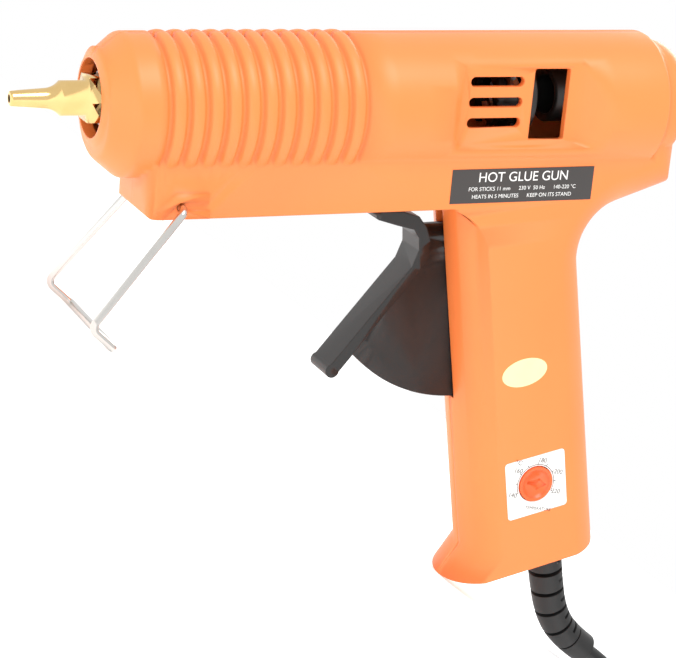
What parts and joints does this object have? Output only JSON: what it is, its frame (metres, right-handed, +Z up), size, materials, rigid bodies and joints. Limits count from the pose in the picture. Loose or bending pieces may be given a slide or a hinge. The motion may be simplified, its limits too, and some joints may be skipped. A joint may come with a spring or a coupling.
{
  "type": "hot glue gun",
  "caption": "Orange pistol-shaped hot glue gun with a grooved barrel, brass nozzle, black trigger, folding wire stand, temperature dial and mains cord.",
  "frame": {"origin": "centre of the standing gun at table height", "axes": "the gun leans nose down on its stand: its nozzle points to -X, its left side with the dial faces -Y, +Z is up"},
  "size_m": [0.404, 0.076, 0.1807],
  "materials": {
    "housing_plastic": "satin",
    "black_plastic": "matte",
    "dial_plastic": "satin",
    "brass": "polished",
    "steel_wire": "polished",
    "steel": "satin",
    "cast_aluminium": "satin",
    "ceramic": "matte",
    "mica_film": "satin",
    "fibre_ring": "matte",
    "silicone_red": "satin",
    "rubber_black": "matte",
    "charcoal_label": "satin",
    "white_label": "satin",
    "yellow_sticker": "satin",
    "circuit_board": "satin",
    "lead_sleeve": "matte"
  },
  "bodies": {
    "gun": {"housing_left": "housing_plastic", "housing_right": "housing_plastic", "nozzle": "brass", "valve_seat": "brass", "check_ball": "steel", "check_spring": "steel", "melt_chamber": "cast_aluminium", "heater_plate": "ceramic", "contact_plate_top": "steel", "contact_plate_bottom": "steel", "insulation_wrap": "mica_film", "front_ring": "fibre_ring", "back_ring": "fibre_ring", "inlet_sleeve": "silicone_red", "sleeve_clip": "steel", "stick_guide": "black_plastic", "trigger_pin": "steel", "potentiometer": "black_plastic", "control_board": "circuit_board", "capacitor": "black_plastic", "triac": "black_plastic", "terminal_block": "white_label", "heater_lead_left": "lead_sleeve", "heater_lead_right": "lead_sleeve", "strain_relief": "rubber_black", "cord_inside": "rubber_black", "cord_clamp": "white_label", "clamp_screw_front": "steel", "clamp_screw_back": "steel", "rating_label": "charcoal_label", "dial_label": "white_label", "inspection_sticker": "yellow_sticker", "power_cord": "rubber_black", "cord_coil": "rubber_black", "cord_tie": "white_label", "plug": "rubber_black", "plug_pin_near": "brass", "plug_pin_far": "brass", "housing_screw_1": "steel", "housing_screw_2": "steel", "housing_screw_3": "steel", "housing_screw_4": "steel", "housing_screw_5": "steel", "housing_screw_6": "steel", "housing_screw_7": "steel", "housing_screw_8": "steel"},
    "trigger": {"trigger": "black_plastic", "return_spring": "steel"},
    "carriage": {"carriage": "black_plastic", "drive_pin": "steel", "clamp_pin": "steel"},
    "clamp": {"stick_clamp": "steel"},
    "stand": {"wire_stand": "steel_wire"},
    "dial": {"temperature_dial": "dial_plastic"}
  },
  "joints": [
    {"name": "trigger_pull", "type": "hinge", "parent": "gun", "child": "trigger", "pos_m": [0.00352, 0, 0.09274], "axis": [0, -1, 0], "range_deg": [0, 36], "stiffness_Nm_per_rad": 0.12, "springref_deg": -20.05},
    {"name": "carriage_slide", "type": "slide", "parent": "gun", "child": "carriage", "axis": [-0.7991, 0, -0.6013], "range_m": [0, 0.0208]},
    {"name": "clamp_tilt", "type": "hinge", "parent": "carriage", "child": "clamp", "pos_m": [-0.02626, 0, 0.1383], "axis": [0, 1, 0], "range_deg": [0, 8]},
    {"name": "stand_fold", "type": "hinge", "parent": "gun", "child": "stand", "pos_m": [-0.09045, 0, 0.04482], "axis": [0, -1, 0], "range_deg": [0, 108]},
    {"name": "temperature_dial", "type": "hinge", "parent": "gun", "child": "dial", "pos_m": [0.07247, -0.0152, 0.04401], "axis": [0, -1, 0], "range_deg": [0, 230]}
  ],
  "couplings": [
    {"joint": "carriage_slide", "follows": "trigger_pull", "m_per_rad": 0.0331},
    {"joint": "clamp_tilt", "follows": "trigger_pull", "ratio": 0.2222}
  ]
}
